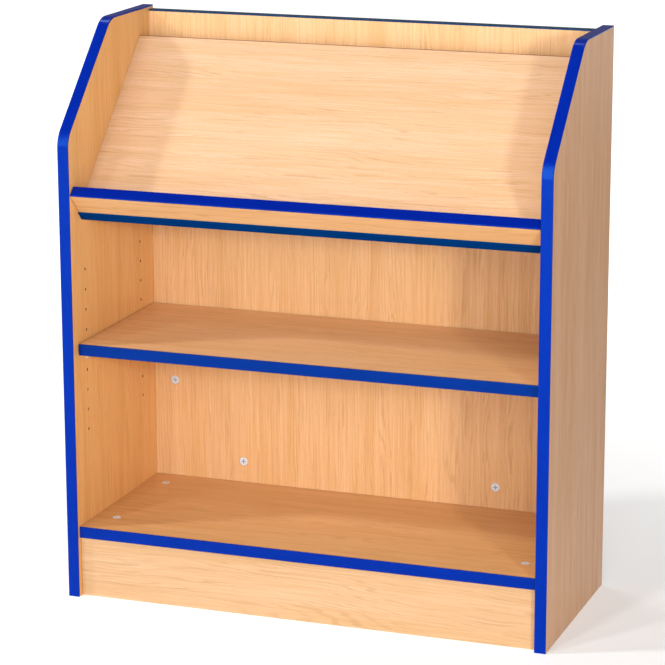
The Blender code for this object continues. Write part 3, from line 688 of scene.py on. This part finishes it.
def make_fittings():
    """Put the finer cams and screws in, and give the bolts, dowels and supports their finish."""
    zinc, steel, nylon = cast_zinc(), plated_steel(), moulded_nylon()
    points, faces, recess = cam_form()
    spots = {}
    for side, outward in SIDES.items():
        spots.update({f"base_cam_{side}_{row}": (UP, outward) for row in ("front", "rear")})
        spots.update({f"back_cam_{side}_{row}": (-BACK, outward) for row in ("low", "high")})
        spots[f"back_foot_cam_{side}"] = (-BACK, -UP)
        spots[f"slope_cam_{side}"] = (-SLOPE_FACE, outward)
        spots[f"plinth_cam_{side}"] = (BACK, outward)
    for node, (face, bolt) in spots.items():
        seat = middle_of(node) - face * (CAM_FACE + CAM_FOOT) / 2
        piece = skin(f"{node}_lock", set_in(points, seat, bolt, face), faces, zinc, CAM_CREASE, recess)
        stand_for(piece, node, "case")
    points, faces = screw_form()
    for place in ("left", "middle", "right"):
        node = f"ledge_screw_{place}"
        head = middle_of(node) - SLOPE_FACE * SCREW_LENGTH / 2
        piece = skin(f"{node}_fixing", set_in(points, head, RIGHT, SLOPE_FACE), faces, steel, SCREW_CREASE)
        stand_for(piece, node, "case")
    finishes = {"bolt": steel, "support": nylon, "slope_dowel": dowel_beech("turned_beech_dowel", RIGHT),
                "ledge_dowel": dowel_beech("turned_beech_dowel_on_slope", SLOPE_FACE)}
    finishes["plinth_dowel"] = finishes["slope_dowel"]
    for name, node in nodes.items():
        for part, finish in finishes.items():
            if part in name:
                node.data.materials.clear()
                node.data.materials.append(finish)


def make_floor():
    """A wide flat floor under the bookcase, kept out of the object."""
    side = np.linspace(-FLOOR_HALF, FLOOR_HALF, FLOOR_POINTS)
    x, y = np.meshgrid(side, side, indexing="ij")
    points = np.stack([x, y, np.zeros_like(x)], axis=2)
    mesh = bpy.data.meshes.new("studio_floor")
    mesh.from_pydata(points.reshape(-1, 3).tolist(), [], quads(FLOOR_POINTS, FLOOR_POINTS, False).tolist())
    mesh.materials.append(pale_floor())
    floor = bpy.data.objects.new("studio_floor", mesh)
    bpy.context.scene.collection.objects.link(floor)


def make_lights():
    """Softboxes left, right, in front and high behind, two tall strip lights, and a dim even surround."""
    world = bpy.data.worlds.new("white_studio")
    world.use_nodes = True
    world.node_tree.nodes.clear()
    sky = add(world.node_tree, "Background", {"Color": (1, 1, 1, 1), "Strength": SURROUND_LIGHT})
    add(world.node_tree, "OutputWorld", {0: sky[0]})
    bpy.context.scene.world = world
    for name, (turn, height, distance, wide, tall, power) in SOFTBOXES.items():
        turn, height = math.radians(turn), math.radians(height)
        level = RIGHT * math.sin(turn) - BACK * math.cos(turn)
        spot = SOFTBOX_AIM + (level * math.cos(height) + UP * math.sin(height)) * distance
        lamp = bpy.data.lights.new(name, "AREA")
        lamp.shape = "RECTANGLE"
        lamp.size = wide
        lamp.size_y = tall
        lamp.energy = power
        holder = bpy.data.objects.new(name, lamp)
        holder.location = spot
        holder.rotation_euler = (SOFTBOX_AIM - spot).to_track_quat("-Z", "Y").to_euler()
        bpy.context.scene.collection.objects.link(holder)


def make_camera():
    """The camera at the photograph's place: yaw about the upright, then pitch, then roll about its view."""
    flat = Vector((-math.sin(CAMERA_YAW), math.cos(CAMERA_YAW), 0))
    ahead = flat * math.cos(CAMERA_PITCH) + UP * math.sin(CAMERA_PITCH)
    level = Vector((math.cos(CAMERA_YAW), math.sin(CAMERA_YAW), 0))
    over = level.cross(ahead)
    right = level * math.cos(CAMERA_ROLL) + over * math.sin(CAMERA_ROLL)
    top = over * math.cos(CAMERA_ROLL) - level * math.sin(CAMERA_ROLL)
    lens = bpy.data.cameras.new("studio_camera")
    lens.sensor_width = SENSOR_MM
    lens.lens = FOCAL_PIXELS / IMAGE_SIDE * SENSOR_MM
    lens.clip_end = CLIP_END
    camera = bpy.data.objects.new("studio_camera", lens)
    turn = Matrix((right, top, -ahead)).transposed()
    camera.matrix_world = Matrix.Translation(CAMERA_PLACE) @ turn.to_4x4()
    bpy.context.scene.collection.objects.link(camera)
    bpy.context.scene.camera = camera


make_boards()
make_edging()
make_fittings()
make_floor()
make_lights()
make_camera()
bpy.context.scene.view_settings.view_transform = "Standard"
